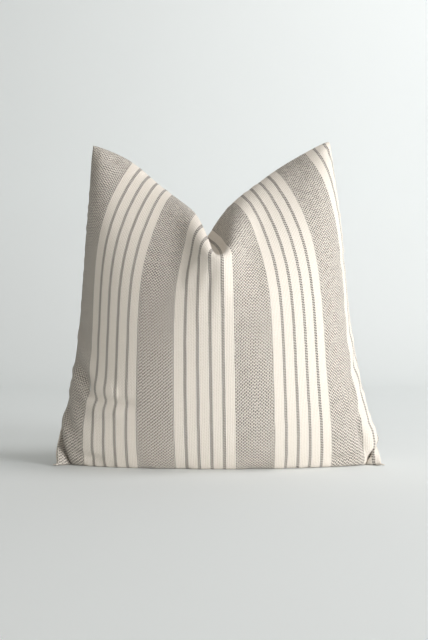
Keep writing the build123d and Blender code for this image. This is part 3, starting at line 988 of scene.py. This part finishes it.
def label(name, x0, x1, y0, y1, z, node, lift):
    nx, ny = 30, 22
    xs, ys = np.linspace(x0, x1, nx), np.linspace(y0, y1, ny)
    X, Y = np.meshgrid(xs, ys, indexing="ij")
    a, b = (X - x0) / (x1 - x0), (Y - y0) / (y1 - y0)
    z0 = z + lift * np.sin(math.pi * a) * np.sin(math.pi * b) + 0.06 * np.sin(a * 11 + b * 3) * np.sin(math.pi * a)
    low = np.stack([X, Y, z0], -1)
    top = low + [0, 0, 0.22]
    verts = np.concatenate([low.reshape(-1, 3), top.reshape(-1, 3)])
    i, j = np.meshgrid(np.arange(nx - 1), np.arange(ny - 1), indexing="ij")
    q = np.stack([(i * ny + j).ravel(), ((i + 1) * ny + j).ravel(), ((i + 1) * ny + j + 1).ravel(), (i * ny + j + 1).ravel()], 1)
    faces = list(map(tuple, q[:, ::-1])) + list(map(tuple, q + nx * ny))
    loop = [k * ny for k in range(nx)] + [(nx - 1) * ny + k for k in range(1, ny)] + [k * ny + ny - 1 for k in range(nx - 2, -1, -1)] + [k for k in range(ny - 2, 0, -1)]
    for k in range(len(loop)):
        p, r = loop[k], loop[(k + 1) % len(loop)]
        faces.append((p, r, r + nx * ny, p + nx * ny))
    soup = Soup().add(verts, faces)
    # a row of stitches along two edges
    for yy in (y0 + 1.2, y1 - 1.2):
        for k in range(int((x1 - x0 - 4) / 3.0)):
            xx = x0 + 2 + 3.0 * k
            t = np.linspace(0, 1, 5)
            soup.tube(np.column_stack([xx + 2.3 * t, np.full(5, yy), np.full(5, z + 0.2) + 0.12 * np.sin(math.pi * t)]), [0.08, 0.16, 0.18, 0.16, 0.08], 6)
    return soup.make(name, satin, "cover", "label_satin", node)


def box_mm(node):
    a, b = NODE_BOX[node]
    return np.array(a) * 1000, np.array(b) * 1000


lo, hi = box_mm("care_label")
label("care_tag", lo[0], hi[0], lo[1], hi[1], lo[2], "care_label", 0.25)
lo, hi = box_mm("insert_label")
label("insert_tag", lo[0], hi[0], lo[1], hi[1], lo[2] - 0.35, "insert_label", 0.0)

# ---------------------------------------------------------------- the insert
shell_mat = plain_cloth("insert_fabric", lin(240, 240, 238), lin(220, 220, 216), 0.8, 0.85, 0.00015)
fill_mat = plain_cloth("stuffing", lin(248, 248, 246), lin(232, 232, 230), 3.0, 0.95, 0.0006)


def insert_layers(inset, gap, k):
    """Two grids (front, back) inside the cover: inset from its seams, gap inside its surfaces."""
    a = np.linspace(inset, 1 - inset, k) * FINE
    i0 = np.clip(np.floor(a).astype(int), 0, FINE - 1)
    f = a - i0
    g = Q[:, i0] * (1 - f)[None, :, None, None] + Q[:, i0 + 1] * f[None, :, None, None]
    g = g[:, :, i0] * (1 - f)[None, None, :, None] + g[:, :, i0 + 1] * f[None, None, :, None]
    mid = 0.5 * (g[0] + g[1])
    h = 0.5 * np.linalg.norm(g[1] - g[0], axis=-1)
    d = (g[1] - g[0]) / np.maximum(2 * h, 1e-6)[..., None]
    t = np.linspace(0, 1, k)
    e = np.minimum(t, 1 - t)
    E = np.minimum(e[:, None], e[None, :])
    prof = np.sqrt(np.clip(1 - (1 - np.clip(E / 0.10, 0, 1)) ** 2, 0, 1))
    hh = np.maximum((h - gap) * (0.02 + 0.98 * prof), 0.05)
    out = np.stack([mid - d * hh[..., None], mid + d * hh[..., None]])
    lift = 11.9 * np.exp(-np.maximum(out[..., 2] - CLOTH, 0) / 70.0) + (gap - 5.0) * 0.6 * np.exp(-np.maximum(out[..., 2] - CLOTH, 0) / 25.0)
    out[..., 2] += lift
    return out


K = 121
outer_g = insert_layers(0.045, 5.0, K)
inner_g = insert_layers(0.047, 6.2, K)
for side, name in ((0, "front"), (1, "back")):
    a, b = outer_g[side].copy(), inner_g[side].copy()
    uvk = np.zeros((K * K, 2))
    ob = panel("insert_" + name, b, a, uvk, shell_mat, side == 1)
    finish_piece(ob, "cover", "insert_fabric", "insert_%s_panel" % name)
fill_g = insert_layers(0.056, 7.4, K)
m2 = K * K
verts = np.concatenate([fill_g[0].reshape(-1, 3), fill_g[1].reshape(-1, 3)])
bumpy = 0.5 * np.sin(verts[:, 0] / 9.1) * np.sin(verts[:, 2] / 8.3 + verts[:, 0] / 21.0)
faces = list(map(tuple, grid_faces(K, 0, False))) + list(map(tuple, grid_faces(K, m2, True)))
loop = border_loop(K)
for k in range(len(loop)):
    a, b = loop[k], loop[(k + 1) % len(loop)]
    faces.append((b, a, a + m2, b + m2))
soup = Soup().add(verts, faces)
fill_ob = soup.make("stuffing_core", fill_mat, "cover", "stuffing", "insert_fill")

# the insert's seam line, and the hand stitches that close it
soup = Soup()
mid_i = 0.5 * (outer_g[0] + outer_g[1])
ring = [mid_i[i, 0] for i in range(K)] + [mid_i[K - 1, j] for j in range(1, K)]
ring += [mid_i[i, K - 1] for i in range(K - 2, -1, -1)] + [mid_i[0, j] for j in range(K - 2, 0, -1)]
ring = np.array(ring + [ring[0]])
dd = np.concatenate([[0], np.cumsum(np.linalg.norm(np.diff(ring, axis=0), axis=1))])
rp, _ = walk(ring, dd, 1.0)
cen = rp.mean(0)
for a in range(0, len(rp) - 3, 3):
    seg = rp[a : a + 3]
    seg = np.array([seg[0], seg[0] * 0.5 + seg[1] * 0.5, seg[1], seg[1] * 0.5 + seg[2] * 0.5])
    soup.tube(seg, [0.1, 0.24, 0.26, 0.1], 6)
soup.make("insert_seam_stitches", thread, "cover", "cream_thread", "insert_seam_thread")
soup = Soup()
zb = float(outer_g[0][K // 2, 0, 2])
for k in range(29):
    x0 = -80.0 + k * (143.4 / 28)
    soup.tube([(x0 - 0.9, BASE_Y - 1.7, zb - 0.25), (x0 - 0.4, BASE_Y - 0.8, zb - 0.6), (x0 + 0.4, BASE_Y + 0.8, zb - 0.6), (x0 + 0.9, BASE_Y + 1.7, zb - 0.25)], [0.12, 0.24, 0.24, 0.12], 6)
soup.make("closing_stitches", thread, "cover", "cream_thread", "insert_closing_stitches")

# ---------------------------------------------------------------- floor, light, camera
def stage_material(name, color, rough=0.9):
    m = Nodes(name)
    co = m.node("ShaderNodeTexCoord")
    n = m.noise(co.outputs["Object"], 3.0, 2.0)
    m.bsdf(m.mix(n, tuple(c * 0.985 for c in color[:3]) + (1,), color), rough)
    return m.mat


# floor that sweeps up into a wall far behind
prof = [(-3.0, 0.0), (1.6, 0.0)]
prof += [(1.6 + 0.7 * math.sin(a), 0.7 - 0.7 * math.cos(a)) for a in np.linspace(0.05, math.pi / 2, 24)]
prof += [(2.3, 4.5)]
sv = [(x, y, z - 0.0002) for x in (-4.5, 4.5) for (y, z) in prof]
k = len(prof)
sf = [(i, k + i, k + i + 1, i + 1) for i in range(k - 1)]
floor = mesh_object("stage_floor", sv, sf, stage_material("stage_pale", lin(239, 243, 243)))


def area(name, loc, target, size_x, size_y, power, color):
    data = bpy.data.lights.new(name, "AREA")
    data.shape = "RECTANGLE"
    data.size, data.size_y = size_x, size_y
    data.energy = power
    data.color = color
    ob = bpy.data.objects.new(name, data)
    ob.location = loc
    ob.rotation_euler = (Vector(target) - Vector(loc)).to_track_quat("-Z", "Y").to_euler()
    bpy.context.scene.collection.objects.link(ob)
    return ob


area("window", (2.0, -1.5, 0.55), (0, 0, 0.20), 1.0, 1.2, 50.0, (0.985, 0.985, 1.0))
area("front", (0.5, -2.6, 0.40), (0, 0, 0.12), 1.8, 0.7, 13.0, (1.0, 0.985, 0.95))
area("wall_wash", (1.6, 0.2, 2.6), (0.6, 2.3, 1.0), 1.6, 1.6, 36.0, (1.0, 0.995, 1.0))

world = bpy.data.worlds.new("soft_room")
bpy.context.scene.world = world
world.use_nodes = True
bg = world.node_tree.nodes["Background"]
bg.inputs["Color"].default_value = (1.0, 0.965, 0.905, 1.0)
bg.inputs["Strength"].default_value = 0.30
bpy.context.scene.view_settings.view_transform = "Standard"

cam = bpy.data.cameras.new("photo_camera")
cam.sensor_fit = "AUTO"
cam.sensor_width = 36.0
cam.lens = 57.04
cam_ob = bpy.data.objects.new("photo_camera", cam)
cam_ob.location = (-0.007, -1.480, 0.206)
cam_ob.rotation_euler = (math.pi / 2, 0, 0)
bpy.context.scene.collection.objects.link(cam_ob)
bpy.context.scene.camera = cam_ob
